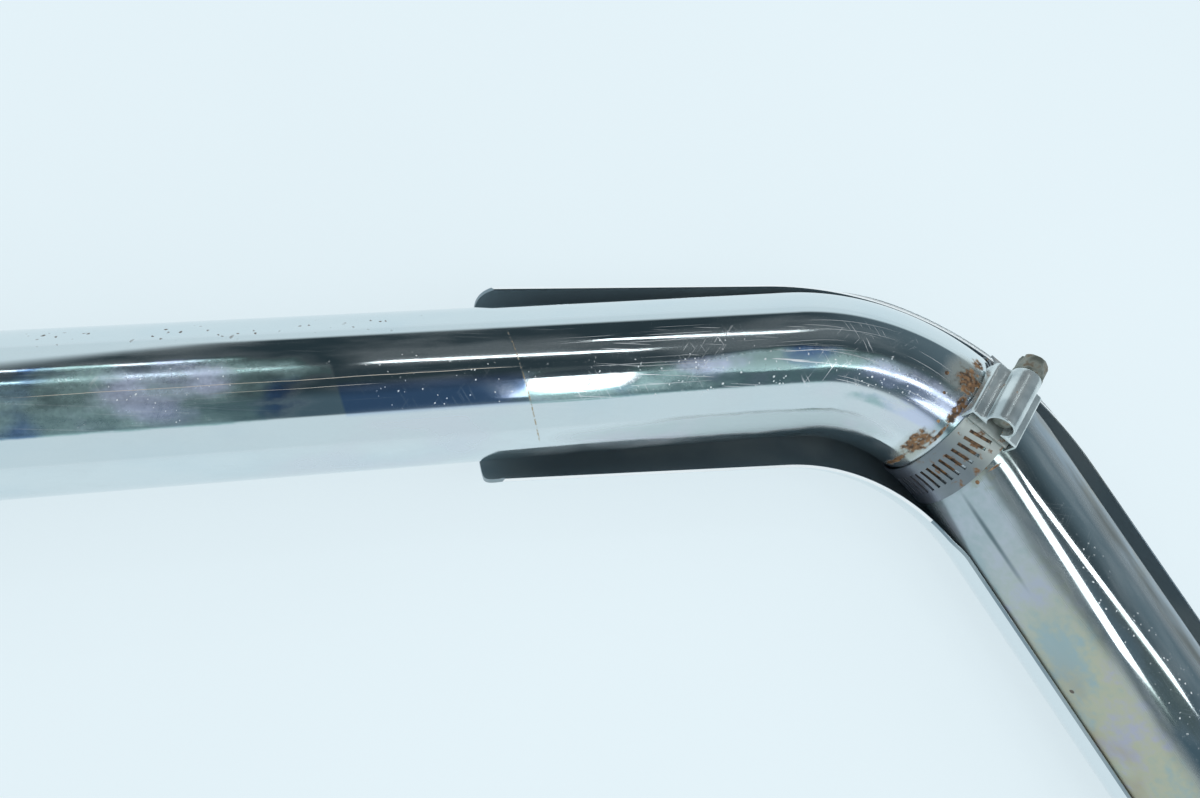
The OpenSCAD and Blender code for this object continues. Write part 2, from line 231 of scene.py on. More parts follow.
light = sky.mix(ray.outputs["Is Camera Ray"], light, backdrop)
background = world.node_tree.nodes["Background"]
sky.feed(background.inputs["Color"], light)
background.inputs["Strength"].default_value = 1.0


# Header pipe
# A steel tube, 1 3/4 inch across, bent cold in two places and chrome plated. It is used: the
# plating is hazed and scratched, freckled and streaked with rust, and tinted by heat near the port.
PIPE_R = 22.225 * MM
PIPE_WALL = 1.65 * MM
PORT_BEND_R = 66 * MM
LOWER_BEND_R = 70 * MM
PORT_HEADING, MIDDLE_HEADING, REAR_HEADING = 23, 117, 180
PORT_RUN, MIDDLE_RUN, REAR_RUN = 72 * MM, 210 * MM, 300 * MM
PIPE_START = 10.05 * MM


def unit(degrees):
    return Vector((math.cos(math.radians(degrees)), math.sin(math.radians(degrees)), 0))


def tangent(radius, turn):
    return radius * math.tan(math.radians(turn / 2))


def walk(distance, heading, stretches, run_step=20 * MM, bend_step=1.5):
    """Stations (distance, point, heading) from a place on the port's axis, along runs and left bends.

    A stretch is a run's length or a bend's (radius, turn). The steps are a length and degrees."""
    point = distance * unit(heading)
    stations = [(distance, point.copy(), heading)]
    for stretch in stretches:
        if isinstance(stretch, tuple):
            radius, turn = stretch
            count = math.ceil(turn / bend_step)
            centre = point + radius * unit(heading + 90)
            for i in range(1, count + 1):
                now = heading + turn * i / count
                stations.append((distance + math.radians(turn) * radius * i / count,
                                 centre - radius * unit(now + 90), now))
            heading += turn
            distance += math.radians(turn) * radius
            point = centre - radius * unit(heading + 90)
        else:
            count = max(1, math.ceil(stretch / run_step))
            for i in range(1, count + 1):
                stations.append((distance + stretch * i / count,
                                 point + unit(heading) * stretch * i / count, heading))
            distance += stretch
            point = point + unit(heading) * stretch
    return stations


def skin(name, rings, closed, slots=None, caps=()):
    """A mesh over rings of (along, across, up, station) points, each ring a closed loop.

    Its attribute "straight" holds where each point would be if the pipe ran straight. Slots are the
    material slots round a ring, and caps are faces that close the ends, in slot 1."""
    verts, places = [], []
    for ring in rings:
        for along, across, up, (distance, point, heading) in ring:
            verts.append(point + unit(heading) * along + unit(heading + 90) * across + Vector((0, 0, up)))
            places += (distance + along, across, up)
    count = len(rings[0])
    faces, face_slots = list(caps), [1] * len(caps)
    for r in range(len(rings) if closed else len(rings) - 1):
        a, b = r * count, ((r + 1) % len(rings)) * count
        for i in range(count):
            j = (i + 1) % count
            faces.append((a + i, a + j, b + j, b + i))
            face_slots.append(slots[i] if slots else 0)
    mesh = bpy.data.meshes.new(name)
    mesh.from_pydata(verts, [], faces)
    mesh.polygons.foreach_set("material_index", face_slots)
    mesh.attributes.new("straight", "FLOAT_VECTOR", "POINT").data.foreach_set("vector", places)
    mesh.shade_smooth()
    mesh.set_sharp_from_angle(angle=math.radians(35))
    piece = bpy.data.objects.new(name, mesh)
    bpy.context.scene.collection.objects.link(piece)
    return piece


port_turn, lower_turn = MIDDLE_HEADING - PORT_HEADING, REAR_HEADING - MIDDLE_HEADING
pipe_line = walk(PIPE_START, PORT_HEADING, [PORT_RUN - PIPE_START, (PORT_BEND_R, port_turn), MIDDLE_RUN,
                                            (LOWER_BEND_R, lower_turn), REAR_RUN])
PIPE_STEPS = 144
around = [2 * math.pi * i / PIPE_STEPS for i in range(PIPE_STEPS)]
EDGE = 0.25 * MM


def circle(station, radius, along=0.0):
    return [(along, radius * math.sin(a), radius * math.cos(a), station) for a in around]


bore_r = PIPE_R - PIPE_WALL
outside = [circle(station, PIPE_R) for station in pipe_line]
inside = [circle(station, bore_r) for station in reversed(pipe_line)]
outside[0] = circle(pipe_line[0], PIPE_R, EDGE)
outside[-1] = circle(pipe_line[-1], PIPE_R, -EDGE)
inside[0] = circle(pipe_line[-1], bore_r, -EDGE)
inside[-1] = circle(pipe_line[0], bore_r, EDGE)
rings = ([circle(pipe_line[0], bore_r + EDGE), circle(pipe_line[0], PIPE_R - EDGE)] + outside
         + [circle(pipe_line[-1], PIPE_R - EDGE), circle(pipe_line[-1], bore_r + EDGE)] + inside)
header = skin("header_tube", rings, closed=True)


class Plating(Finish):
    """A finish on a long bent piece, placed by distance from the port and angle round the pipe."""

    def __init__(self, name):
        super().__init__(name)
        self.straight = self.add("ShaderNodeAttribute", attribute_name="straight").node.outputs["Vector"]
        parts = self.add("ShaderNodeSeparateXYZ", self.straight).node.outputs
        self.run, self.across, self.up = parts
        self.angle = self.math("DEGREES", self.math("ARCTAN2", self.across, self.up))

    def between(self, value, low, high, soft):
        """1 between two values, with soft edges."""
        return self.both(self.ramp(value, low - soft, low + soft),
                         self.ramp(value, high + soft, high - soft))

    def along(self, start, stop, soft):
        """1 on a stretch of the piece, in mm from the port."""
        return self.between(self.run, start * MM, stop * MM, soft * MM)

    def side(self, low, high, soft):
        """1 between two angles round the piece, in degrees from straight up, positive to the left."""
        return self.between(self.angle, low, high, soft)

    def patch(self, at, angle, length, width, ragged, raggedness=1.0, edge=0.3):
        """A blotch this many mm along the pipe and this many degrees round it."""
        along = self.math("DIVIDE", self.math("SUBTRACT", self.run, at * MM), length / 2 * MM)
        round_it = self.math("DIVIDE", self.math("SUBTRACT", self.angle, angle), width / 2)
        far = self.math("SQRT", self.added(self.both(along, along), self.both(round_it, round_it)))
        wander = self.both(self.math("SUBTRACT", ragged, 0.5), raggedness * 2)
        return self.ramp(self.added(far, wander), 1.0, 1.0 - edge)

    def dots(self, per_metre, low, high, where):
        """Small round dots, this many to the metre each way, soft between two parts of their spacing."""
        cells = self.add("ShaderNodeTexVoronoi", where).node
        cells.inputs["Scale"].default_value = per_metre
        return self.ramp(cells.outputs["Distance"], high, low)

    def scratches(self, slant, length, width, rarity, shift):
        """Straight scratches of about this length and width in mm, slanted by degrees from the run."""
        unrolled = self.add("ShaderNodeCombineXYZ", self.run,
                            self.both(self.angle, math.radians(1) * PIPE_R), shift)
        turned = self.tree.nodes.new("ShaderNodeVectorRotate")
        turned.rotation_type = "Z_AXIS"
        self.feed(turned.inputs["Vector"], unrolled)
        turned.inputs["Angle"].default_value = math.radians(slant)
        lines = self.noise(turned.outputs[0], 1.0, 0, stretch=(1000 / length, 1000 / width, 1.0))
        return self.ramp(lines, rarity, rarity + 0.025)


chrome = Plating("pipe_chrome_used")
cloud = chrome.noise(chrome.straight, 45, 4)
grain = chrome.noise(chrome.straight, 900, 3)
ragged = chrome.noise(chrome.straight, 420, 6)
brushed = chrome.noise(chrome.straight, 60, 5, stretch=(0.35, 1.0, 1.0))
brushed_fine = chrome.noise(chrome.straight, 150, 5, stretch=(0.16, 1.0, 1.0))
blotch = chrome.noise(chrome.straight, 34, 4, stretch=(0.6, 1.0, 1.0))
uneven = chrome.add("ShaderNodeVectorMath", chrome.straight, chrome.both(ragged, 0.002))

# A stretch behind the ring line is wiped clean; round it the plating carries a mottled film.
leg = chrome.ramp(chrome.run, 408 * MM, 396 * MM)
tilted_run = chrome.added(chrome.run, chrome.both(chrome.angle, 0.082 * MM))
wiped = chrome.between(tilted_run, 553.3 * MM, 602 * MM, 0.5 * MM)
film_low = chrome.both(chrome.side(7, 27.5, 3.5), chrome.outside(chrome.both(leg, 0.7)))
film_wide = chrome.both(chrome.side(-17, 27.5, 3), chrome.ramp(tilted_run, 601 * MM, 603 * MM))
film_top = chrome.both(chrome.patch(474, 9, 96, 20, cloud, 0.5, 0.5), chrome.ramp(brushed, 0.22, 0.42))
film_bend = chrome.both(chrome.side(4, 40, 5), chrome.ramp(chrome.run, 470 * MM, 430 * MM),
                        chrome.ramp(chrome.run, 404 * MM, 424 * MM))
film = chrome.both(chrome.most(film_low, film_wide, film_bend), chrome.ramp(brushed, 0.36, 0.66))
clear = chrome.patch(535, 15, 52, 26, cloud, 0.3, 0.5)
film = chrome.most(chrome.both(film, chrome.outside(clear)), film_top)
film = chrome.both(film, chrome.outside(chrome.both(wiped, 0.75)))
film = chrome.both(film, chrome.added(0.6, chrome.both(grain, 0.7)))

# Haze all over; on the middle run a smoky deposit darkened with painted shade, and a pale side; and bloom
# low on the rear run.
haze = chrome.both(chrome.ramp(cloud, 0.3, 0.7), chrome.ramp(brushed, 0.35, 0.7))
# The smoky side is partly a real deposit and partly painted shade: its dark colour stands in for the dark
# surroundings reflected there.
smoke_and_shade = chrome.both(chrome.side(-84, -20, 9), leg)
streaky = chrome.both(chrome.side(-33, 12, 3), chrome.ramp(brushed_fine, 0.42, 0.68))
leg_edge = chrome.both(chrome.side(27, 39, 6), leg, chrome.ramp(brushed, 0.36, 0.62))
leg_pale = chrome.both(chrome.side(34, 96, 8), leg)
bloom = chrome.most(
    chrome.patch(487, 62, 130, 34, cloud, 0.3, 0.5),
    chrome.both(chrome.side(30, 88, 8), chrome.ramp(blotch, 0.42, 0.62), 0.4))

# Fine scratches, most of them near the lower bend, and white specks where the plating is pitted, painted as
# glints: small painted highlights.
sparse = chrome.both(chrome.ramp(cloud, 0.50, 0.60), chrome.side(-22, 30, 4))
scuffs = chrome.most(
    chrome.both(chrome.scratches(0, 55, 0.4, 0.745, 0.0), chrome.side(-32, 30, 3)),
    chrome.both(chrome.scratches(6, 22, 0.4, 0.75, 1.7), chrome.side(-30, 32, 4)),
    chrome.both(chrome.scratches(62, 8, 0.4, 0.725, 3.1), sparse),
    chrome.both(chrome.scratches(-50, 7, 0.4, 0.74, 7.7), sparse))
scuffs = chrome.both(scuffs, chrome.added(chrome.along(415, 540, 12), 0.25))
# Painted highlights: white, mostly diffuse dots standing for light caught by the pits.
painted_glints = chrome.most(
    chrome.both(chrome.dots(520, 0.05, 0.16, uneven), chrome.side(-12, 29, 3),
                chrome.ramp(blotch, 0.5, 0.62)),
    chrome.both(chrome.dots(560, 0.06, 0.26, uneven), chrome.side(-4, 24, 6), chrome.along(292, 366, 14),
                chrome.ramp(ragged, 0.44, 0.58)),
    chrome.both(chrome.dots(620, 0.10, 0.28, uneven), chrome.side(1, 30, 6), chrome.along(430, 545, 12),
                chrome.ramp(ragged, 0.46, 0.60)))

# A thin line round the pipe, two long ones beside the film, and freckles along the top.
ring_line = chrome.both(chrome.between(tilted_run, 552.9 * MM, 553.3 * MM, 0.15 * MM),
                        chrome.side(-26, 62, 2), chrome.ramp(grain, 0.35, 0.6))
wavy_angle = chrome.added(chrome.angle, chrome.both(cloud, 2))
bent_angle = chrome.added(chrome.angle, cloud)
long_line = chrome.most(
    chrome.both(chrome.between(wavy_angle, 3.2, 3.5, 0.2), chrome.along(556, 676, 6)),
    chrome.both(chrome.between(bent_angle, 8.4, 8.6, 0.2), chrome.along(592, 632, 5)))
speck = chrome.patch(323.7, 78.6, 1.6, 5, ragged, 0.4)
freckles = chrome.both(chrome.dots(380, 0.08, 0.22, uneven), chrome.side(-52, -34, 3),
                       chrome.along(575, 690, 12), chrome.ramp(cloud, 0.42, 0.55))
freckles = chrome.most(freckles, speck)

# Rust beside and under the lower clamp. Each patch is (mm from the port, degrees round the pipe,
# length in mm, width in degrees, raggedness, softness of its edge).
RUST_PATCHES = (
    (417.3, -31, 4, 17, 1.0, 0.6), (418.4, -10, 9.5, 30, 0.95, 0.6), (416.6, 14, 4.4, 44, 0.8, 0.6),
    (416.0, 40, 1.9, 40, 0.6, 0.6), (420.0, 55, 8.5, 34, 0.95, 0.6), (419.2, 87, 3.6, 48, 1.0, 0.6),
    (425.1, -4.7, 1.7, 4.5, 0.6, 0.3), (423.2, 10.5, 1.0, 2.4, 0.6, 0.3), (419.5, 31, 1.5, 3, 0.6, 0.3),
    (398, 32, 7, 2.2, 0.7, 0.6), (394.2, 27, 1.2, 15, 0.6, 0.6), (398.3, 47.5, 4.5, 7, 1.3, 0.6),
    (392.8, 43.5, 1.8, 3.4, 0.8, 0.3))
rust = chrome.most(*[chrome.patch(at, angle, length, width, ragged, raggedness, edge)
                     for at, angle, length, width, raggedness, edge in RUST_PATCHES])
rust_film = chrome.both(rust, chrome.added(0.5, chrome.ramp(grain, 0.34, 0.50)))
under_band = chrome.both(chrome.along(401.6, 412.8, 0.4), chrome.side(6, 104, 3))
rusty = chrome.most(rust_film, under_band)
stained = chrome.most(
    chrome.patch(418.5, -8, 17, 62, cloud, 0.8, 0.8), chrome.patch(419, 60, 13, 70, cloud, 0.8, 0.8),
    chrome.patch(396, 40, 14, 34, ragged, 1.0, 0.8))

# Heat tint on the middle run, from the port up to a dark stain near the clamp.
tint = chrome.both(chrome.ramp(chrome.run, 385 * MM, 325 * MM), chrome.side(34, 98, 10))
tint_wave = chrome.added(chrome.both(chrome.noise(chrome.straight, 58, 6), 0.75), chrome.both(ragged, 0.25))
straw = chrome.both(chrome.ramp(chrome.run, 345 * MM, 312 * MM), chrome.ramp(chrome.angle, 50, 72),
                    chrome.ramp(cloud, 0.40, 0.62))
stain = chrome.patch(377, 59, 44, 6.5, cloud, 0.4, 0.8)

tint_colour = chrome.mix(chrome.ramp(tint_wave, 0.36, 0.52), (0.28, 0.40, 0.42), (0.42, 0.44, 0.31))
tint_colour = chrome.mix(chrome.ramp(tint_wave, 0.50, 0.64), tint_colour, (0.37, 0.39, 0.49))
film_colour = chrome.mix(chrome.ramp(blotch, 0.38, 0.48), (0.12, 0.22, 0.40), (0.34, 0.50, 0.50))
film_colour = chrome.mix(chrome.ramp(blotch, 0.53, 0.64), film_colour, (0.62, 0.70, 0.90))
film_colour = chrome.mix(leg, film_colour, (0.36, 0.44, 0.43))
# Colour of the smoky deposit and its painted shade.
smoke_and_shade_colour = chrome.mix(chrome.ramp(brushed_fine, 0.36, 0.62), (0.12, 0.14, 0.14), (0.26, 0.34, 0.40))
smoke_and_shade_colour = chrome.mix(chrome.both(chrome.ramp(cloud, 0.50, 0.66), 0.7), smoke_and_shade_colour,
                          (0.20, 0.20, 0.15))
pale_colour = chrome.mix(chrome.ramp(tint_wave, 0.40, 0.60), (0.36, 0.45, 0.48), (0.44, 0.50, 0.56))
bloom_colour = chrome.mix(chrome.ramp(blotch, 0.45, 0.6), (0.50, 0.61, 0.64), (0.58, 0.62, 0.70))
RUST_DARK, RUST_BROWN, RUST_LIGHT = (0.06, 0.038, 0.024), (0.19, 0.108, 0.052), (0.34, 0.205, 0.095)
rust_shade = chrome.noise(chrome.straight, 700, 5)
rust_colour = chrome.mix(chrome.ramp(rust_shade, 0.38, 0.52), RUST_DARK, RUST_BROWN)
rust_colour = chrome.mix(chrome.ramp(rust_shade, 0.56, 0.70), rust_colour, RUST_LIGHT)

# The coats, from the bare plating up: a mask and its colour.
coats = (
    (chrome.both(wiped, film_low), (0.36, 0.50, 0.78)), (chrome.ramp(film, 0.02, 0.2), film_colour),
    (smoke_and_shade, smoke_and_shade_colour), (leg_pale, pale_colour), (leg_edge, (0.13, 0.17, 0.17)), (bloom, bloom_colour),
    (chrome.both(tint, 0.85), tint_colour), (chrome.both(straw, 0.55), (0.34, 0.29, 0.19)),
    (chrome.both(stain, 0.9), (0.10, 0.15, 0.17)), (chrome.most(scuffs, painted_glints), (0.82, 0.87, 0.90)),
    (long_line, (0.78, 0.68, 0.56)), (ring_line, (0.42, 0.36, 0.25)),
    (chrome.both(stained, 0.7), (0.30, 0.33, 0.27)), (rusty, rust_colour), (freckles, (0.11, 0.09, 0.075)))
colour = chrome.mix(chrome.both(haze, 0.6), (0.72, 0.785, 0.805), (0.63, 0.735, 0.785))
for mask, coat in coats:
    colour = chrome.mix(mask, colour, coat)

# How far each coat takes the shine away.
dulled_by = (
    (haze, 0.03), (film, 0.55), (smoke_and_shade, 0.62), (bloom, 0.75), (streaky, 0.10), (leg_edge, 0.55),
    (leg_pale, 0.45), (scuffs, 0.24), (painted_glints, 0.8), (long_line, 0.75), (ring_line, 0.35), (stained, 0.42),
    (tint, 0.72), (rusty, 0.95), (freckles, 0.85))
dull = chrome.most(*[chrome.both(mask, share) for mask, share in dulled_by])
chrome.set(colour=colour, metal=chrome.outside(dull), rough=chrome.added(0.055, chrome.both(dull, 0.5)),
           normal=chrome.bump(chrome.added(cloud, chrome.both(rusty, 0.7)), 0.015 * MM))
header.data.materials.append(chrome.material)
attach(header, "pipe")
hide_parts("header_pipe")


# Heat shield
# A half-round channel pressed from 1 mm sheet, chromed outside and dull inside. It hangs a few
# millimetres off the pipe, a little out of line with it, and its end corners are cut round. Its rims
# are rolled a little, out round the bend and in along the middle run.
SHIELD_R = 29.025 * MM
SHEET = 1.0 * MM
INSIDE_R = SHIELD_R - SHEET
RIM, NICK = 0.7 * MM, 0.15 * MM
RISE = 0.5 * MM
CORNER_R, CORNER_DROP = 17 * MM, 12 * MM
BLEND_IN = 30 * MM
ROLL_OUT, ROLL_IN = 1.0 * MM, 1.1 * MM
ROLL_IN_FROM, ROLL_IN_FULL = 190 * MM, 230 * MM
SHIELD_BEND_R = LOWER_BEND_R + 21.5 * MM
SHIELD_SLIP, SHIELD_SLIDE, SHIELD_TUCK, SHIELD_SKEW = 4.2 * MM, 7.3 * MM, 4.9 * MM, 2.1
SHIELD_FRONT, SHIELD_REAR = 27 * MM, 90.5 * MM
port_corner = (PORT_RUN + tangent(PORT_BEND_R, port_turn)) * unit(PORT_HEADING)
lower_corner = port_corner + (tangent(PORT_BEND_R, port_turn) + MIDDLE_RUN
                              + tangent(LOWER_BEND_R, lower_turn)) * unit(MIDDLE_HEADING)
shield_port_corner = port_corner + SHIELD_SLIP * unit(PORT_HEADING)
shield_lower_corner = lower_corner + Vector((SHIELD_SLIDE, -SHIELD_TUCK, 0))
shield_leg = shield_lower_corner - shield_port_corner
shield_heading = math.degrees(math.atan2(shield_leg.y, shield_leg.x))
first_turn, second_turn = shield_heading - PORT_HEADING, REAR_HEADING - SHIELD_SKEW - shield_heading
first_run = shield_port_corner.length - tangent(PORT_BEND_R, first_turn) - SHIELD_FRONT
middle = shield_leg.length - tangent(PORT_BEND_R, first_turn) - tangent(SHIELD_BEND_R, second_turn)
shield_line = walk(SHIELD_FRONT, PORT_HEADING, [first_run, (PORT_BEND_R, first_turn), middle,
                                                (SHIELD_BEND_R, second_turn), SHIELD_REAR], 5 * MM)
shield_end = shield_line[-1][0]
SHIELD_STEPS = 96
half_round = [math.radians(-90 + 180 * i / SHIELD_STEPS) for i in range(SHIELD_STEPS + 1)]
profile = [(SHIELD_R * math.sin(a), -SHIELD_R * math.cos(a)) for a in half_round]
profile[0] = (-SHIELD_R, -RIM)
profile[-1] = (SHIELD_R, -RIM)
profile += [(SHIELD_R - RIM, 0.0), (INSIDE_R + NICK, 0.0)]
inner = [(INSIDE_R * math.sin(a), -INSIDE_R * math.cos(a)) for a in reversed(half_round)]
inner[0] = (INSIDE_R, -NICK)
inner[-1] = (-INSIDE_R, -NICK)
profile += inner + [(-INSIDE_R - NICK, 0.0), (-SHIELD_R + RIM, 0.0)]
CHROMED, DULL, RIM_EDGE = 0, 1, 2
sheet_slots = ([CHROMED] * SHIELD_STEPS + [RIM_EDGE, CHROMED, CHROMED]
               + [DULL] * SHIELD_STEPS + [CHROMED, CHROMED, RIM_EDGE])


def corner_pull(up):
    """How far the round corner draws the end back, at this height under the rims."""
    depth = max(0.0, CORNER_DROP + up)
    return CORNER_R - math.sqrt(CORNER_R ** 2 - depth ** 2)


def smooth(value, low, high):
    """0 at low, 1 at high, smooth between."""
    part = min(1.0, max(0.0, (value - low) / (high - low)))
    return part * part * (3 - 2 * part)


def shield_ring(station):
    """One cross section: the ends are cut round, and the rim rolls out round the bend's outer side
    and in on the inner side of the middle run."""
    distance, _, heading = station
    to_front = max(0.0, 1 - (distance - SHIELD_FRONT) / BLEND_IN)
    to_rear = max(0.0, 1 - (shield_end - distance) / BLEND_IN)
    turned = heading - shield_heading
    past_bend = distance > shield_end - SHIELD_REAR - 1 * MM
    in_bend = smooth(turned, 4, 16) * smooth(turned, second_turn - 8, second_turn - 20)
    roll_out = 0.0 if past_bend else ROLL_OUT * in_bend
    roll_in = ROLL_IN * smooth(turned, 8, 0) * smooth(distance, ROLL_IN_FROM, ROLL_IN_FULL)
    ring = []
    for index, (wide, up) in enumerate(profile):
        near_rim = smooth(up, -7 * MM, -1 * MM)
        shift = near_rim * roll_out if index <= SHIELD_STEPS // 2 else 0.0
        shift += near_rim * roll_in if wide > 0 else 0.0
        drop = 0.8 * roll_out if index == 0 else 0.0
        ring.append(((to_front - to_rear) * corner_pull(up), wide - shift, up - drop + RISE, station))
    return ring


rings = [shield_ring(station) for station in shield_line]
count = len(profile)
strips = [(i, i + 1, count - 4 - i, count - 3 - i) for i in range(SHIELD_STEPS)]
strips += [tuple(range(SHIELD_STEPS, SHIELD_STEPS + 4)), (count - 3, count - 2, count - 1, 0)]
caps = [tuple(base + corner for corner in strip)[::order]
        for base, order in ((0, 1), ((len(rings) - 1) * count, -1)) for strip in strips]
shield = skin("heat_shield_sheet", rings, closed=False, slots=sheet_slots, caps=caps)
# Along the middle run the rolled-in rim shows its dull side.
for r, station in enumerate(shield_line[:-1]):
    if station[0] > ROLL_IN_FROM and station[2] < shield_heading + 14:
        shield.data.polygons[len(caps) + r * count + SHIELD_STEPS].material_index = DULL

shield_chrome = Plating("shield_chrome_outside")
cloud = shield_chrome.noise(shield_chrome.straight, 40, 4)
shield_chrome.set(colour=(0.78, 0.83, 0.85), metal=1.0,
                  rough=shield_chrome.added(shield_chrome.both(cloud, 0.12), 0.02))
shield_dull = Plating("shield_dull_inside")
cloud = shield_dull.noise(shield_dull.straight, 60, 4, stretch=(0.3, 1.0, 1.0))
smear = shield_dull.noise(shield_dull.straight, 22, 3)
satin = shield_dull.mix(cloud, (0.16, 0.235, 0.28), (0.26, 0.34, 0.385))
satin = shield_dull.mix(shield_dull.both(shield_dull.ramp(smear, 0.45, 0.65), 0.5), satin,
                        (0.38, 0.45, 0.47))
shield_dull.set(colour=satin, metal=0.2, rough=0.34)
# The chamfered outer edge of each rim is near white and half diffuse: a painted highlight, a bright line
# along the rims.
rim_painted_highlight = Plating("shield_rim_painted_highlight")
cloud = rim_painted_highlight.noise(rim_painted_highlight.straight, 70, 4)
rim_painted_highlight.set(colour=rim_painted_highlight.mix(cloud, (0.86, 0.91, 0.93), (0.95, 0.97, 0.98)), metal=0.35,
               rough=0.25)
for finish in (shield_chrome, shield_dull, rim_painted_highlight):
    shield.data.materials.append(finish.material)
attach(shield, "pipe")
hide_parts("heat_shield")


# Worm-drive clamps
# Each is a slotted stainless strip drawn tight by a worm screw in a folded housing that is pressed
# over its two ends. The strip and the saddle are the solids; the housing and the screw are built
# here with the rounded folds, the softened edges and the worn head of the real ones.
BAND_IN_R = 22.7 * MM
HOUSING_LEN, HOUSING_T = 20 * MM, 0.8 * MM
SCREW_AXIS = 28.175 * MM
BORE_R, BARREL_R = 3.8 * MM, 4.6 * MM
ROOF, SKIRT_OUT, SKIRT_IN = 25.425 * MM, 8.8 * MM, 8.0 * MM
SKIRT_ROUND = 1.3 * MM
ROOT_R, THREAD_R, SLOT_PITCH = 3.05 * MM, 3.65 * MM, 2.54 * MM
HEX_FLAT, HEX_CORNER, HEX_LEN, COLLAR_LEN = 3.97 * MM, 4.42 * MM, 5.5 * MM, 1.0 * MM
COLLAR_R = 4.58 * MM
SCREW_STEPS, THREAD_TURNS = 72, 6


def on_line(point, heading, skew, lean, angle):
    """Frame of a clamp: X along the pipe, Z out through the middle of its housing."""
    return (Matrix.Translation(point) @ Matrix.Rotation(math.radians(heading + skew), 4, "Z")
            @ Matrix.Rotation(math.radians(lean), 4, "Y") @ Matrix.Rotation(math.radians(angle), 4, "X"))


bend_start = lower_corner - tangent(LOWER_BEND_R, lower_turn) * unit(MIDDLE_HEADING)
bend_centre = bend_start + LOWER_BEND_R * unit(MIDDLE_HEADING + 90)
INTO_BEND, PAST_PORT_BEND, PORT_CLAMP_AT = 14, 34 * MM, 46 * MM
lower_place = bend_centre + LOWER_BEND_R * unit(MIDDLE_HEADING - 90 + INTO_BEND)
middle_place = port_corner + (tangent(PORT_BEND_R, port_turn) + PAST_PORT_BEND) * unit(MIDDLE_HEADING)
clamp_frames = {
    "lower": on_line(lower_place, MIDDLE_HEADING + INTO_BEND, 5, -3, 8),
    "middle": on_line(middle_place, MIDDLE_HEADING, 0, 0, -20),
    "port": on_line(PORT_CLAMP_AT * unit(PORT_HEADING), PORT_HEADING, 0, 0, 30)}


def arc(x, z, radius, start, stop, steps):
    """Points (x, z) on an arc, its angles in degrees from the X axis."""
    turns_to = [math.radians(start + (stop - start) * i / steps) for i in range(steps + 1)]
    return [(x + radius * math.cos(a), z + radius * math.sin(a)) for a in turns_to]


def solid_rings(name, rings, frame_of):
    """A closed mesh through rings of points with an equal count, its two ends capped."""
    count = len(rings[0])
    verts = [frame_of @ Vector(point) for ring in rings for point in ring]
    faces = []
    for r in range(len(rings) - 1):
        for i in range(count):
            j = (i + 1) % count
            faces.append((r * count + i, r * count + j, (r + 1) * count + j, (r + 1) * count + i))
    last = (len(rings) - 1) * count
    faces += [tuple(range(count - 1, -1, -1)), tuple(range(last, last + count))]
    mesh = bpy.data.meshes.new(name)
    mesh.from_pydata(verts, [], faces)
    build = bmesh.new()
    build.from_mesh(mesh)
    bmesh.ops.recalc_face_normals(build, faces=build.faces)
    build.to_mesh(mesh)
    build.free()
    mesh.shade_smooth()
    mesh.set_sharp_from_angle(angle=math.radians(40))
    piece = bpy.data.objects.new(name, mesh)
    bpy.context.scene.collection.objects.link(piece)
    return piece


def housing_section(y, shrink):
    """The folded sheet cut across at y: over the barrel, down both skirts and back inside."""
    foot = math.sqrt(BAND_IN_R ** 2 - y ** 2) + 0.1 * MM
    barrel, skirt = BARREL_R - shrink, SKIRT_OUT - shrink
    brow = ROOF + HOUSING_T - shrink
    over = arc(0, SCREW_AXIS, barrel, -14, 194, 40)
    right = [(barrel + 0.25 * MM, brow + 0.55 * MM), (barrel + 0.9 * MM, brow + 0.12 * MM)]
    right += arc(skirt - SKIRT_ROUND, brow - SKIRT_ROUND, SKIRT_ROUND, 90, 0, 6)
    right += [(skirt, foot)]
    left = [(-x, z) for x, z in right]
    dip = math.sqrt(BORE_R ** 2 - (SCREW_AXIS - ROOF) ** 2)
    tilt = math.degrees(math.atan2(ROOF - SCREW_AXIS, dip))
    inside = [(-SKIRT_IN, foot), (-SKIRT_IN, ROOF)]
    inside += arc(0, SCREW_AXIS, BORE_R + shrink * 0.6, 180 - tilt, tilt, 36)
    inside += [(SKIRT_IN, ROOF), (SKIRT_IN, foot)]
    return [(x, y, z) for x, z in list(reversed(right)) + over + left + inside]


def screw_ring(y, radius, hexagon=False):
    """One cross section of the screw, y mm towards its head, round or cut to the hexagon's flats."""
    ring = []
    for i in range(SCREW_STEPS):
        around_it = math.radians(360 * i / SCREW_STEPS)
        flat = HEX_FLAT / math.cos((around_it + math.pi / 6) % (math.pi / 3) - math.pi / 6)
        r = min(radius, flat) if hexagon else radius
        ring.append((r * math.cos(around_it), -y, SCREW_AXIS + r * math.sin(around_it)))
    return ring


# The housing's ends are rounded: each cut is (y, how much thinner the sheet is there in mm).
half = HOUSING_LEN / 2
housing_cuts = [(-half, 0.22), (-half + 0.1 * MM, 0.08), (-half + 0.3 * MM, 0.0)]
housing_cuts += [(half * k / 6, 0.0) for k in range(-5, 6)]
housing_cuts += [(half - 0.3 * MM, 0.0), (half - 0.1 * MM, 0.08), (half, 0.22)]
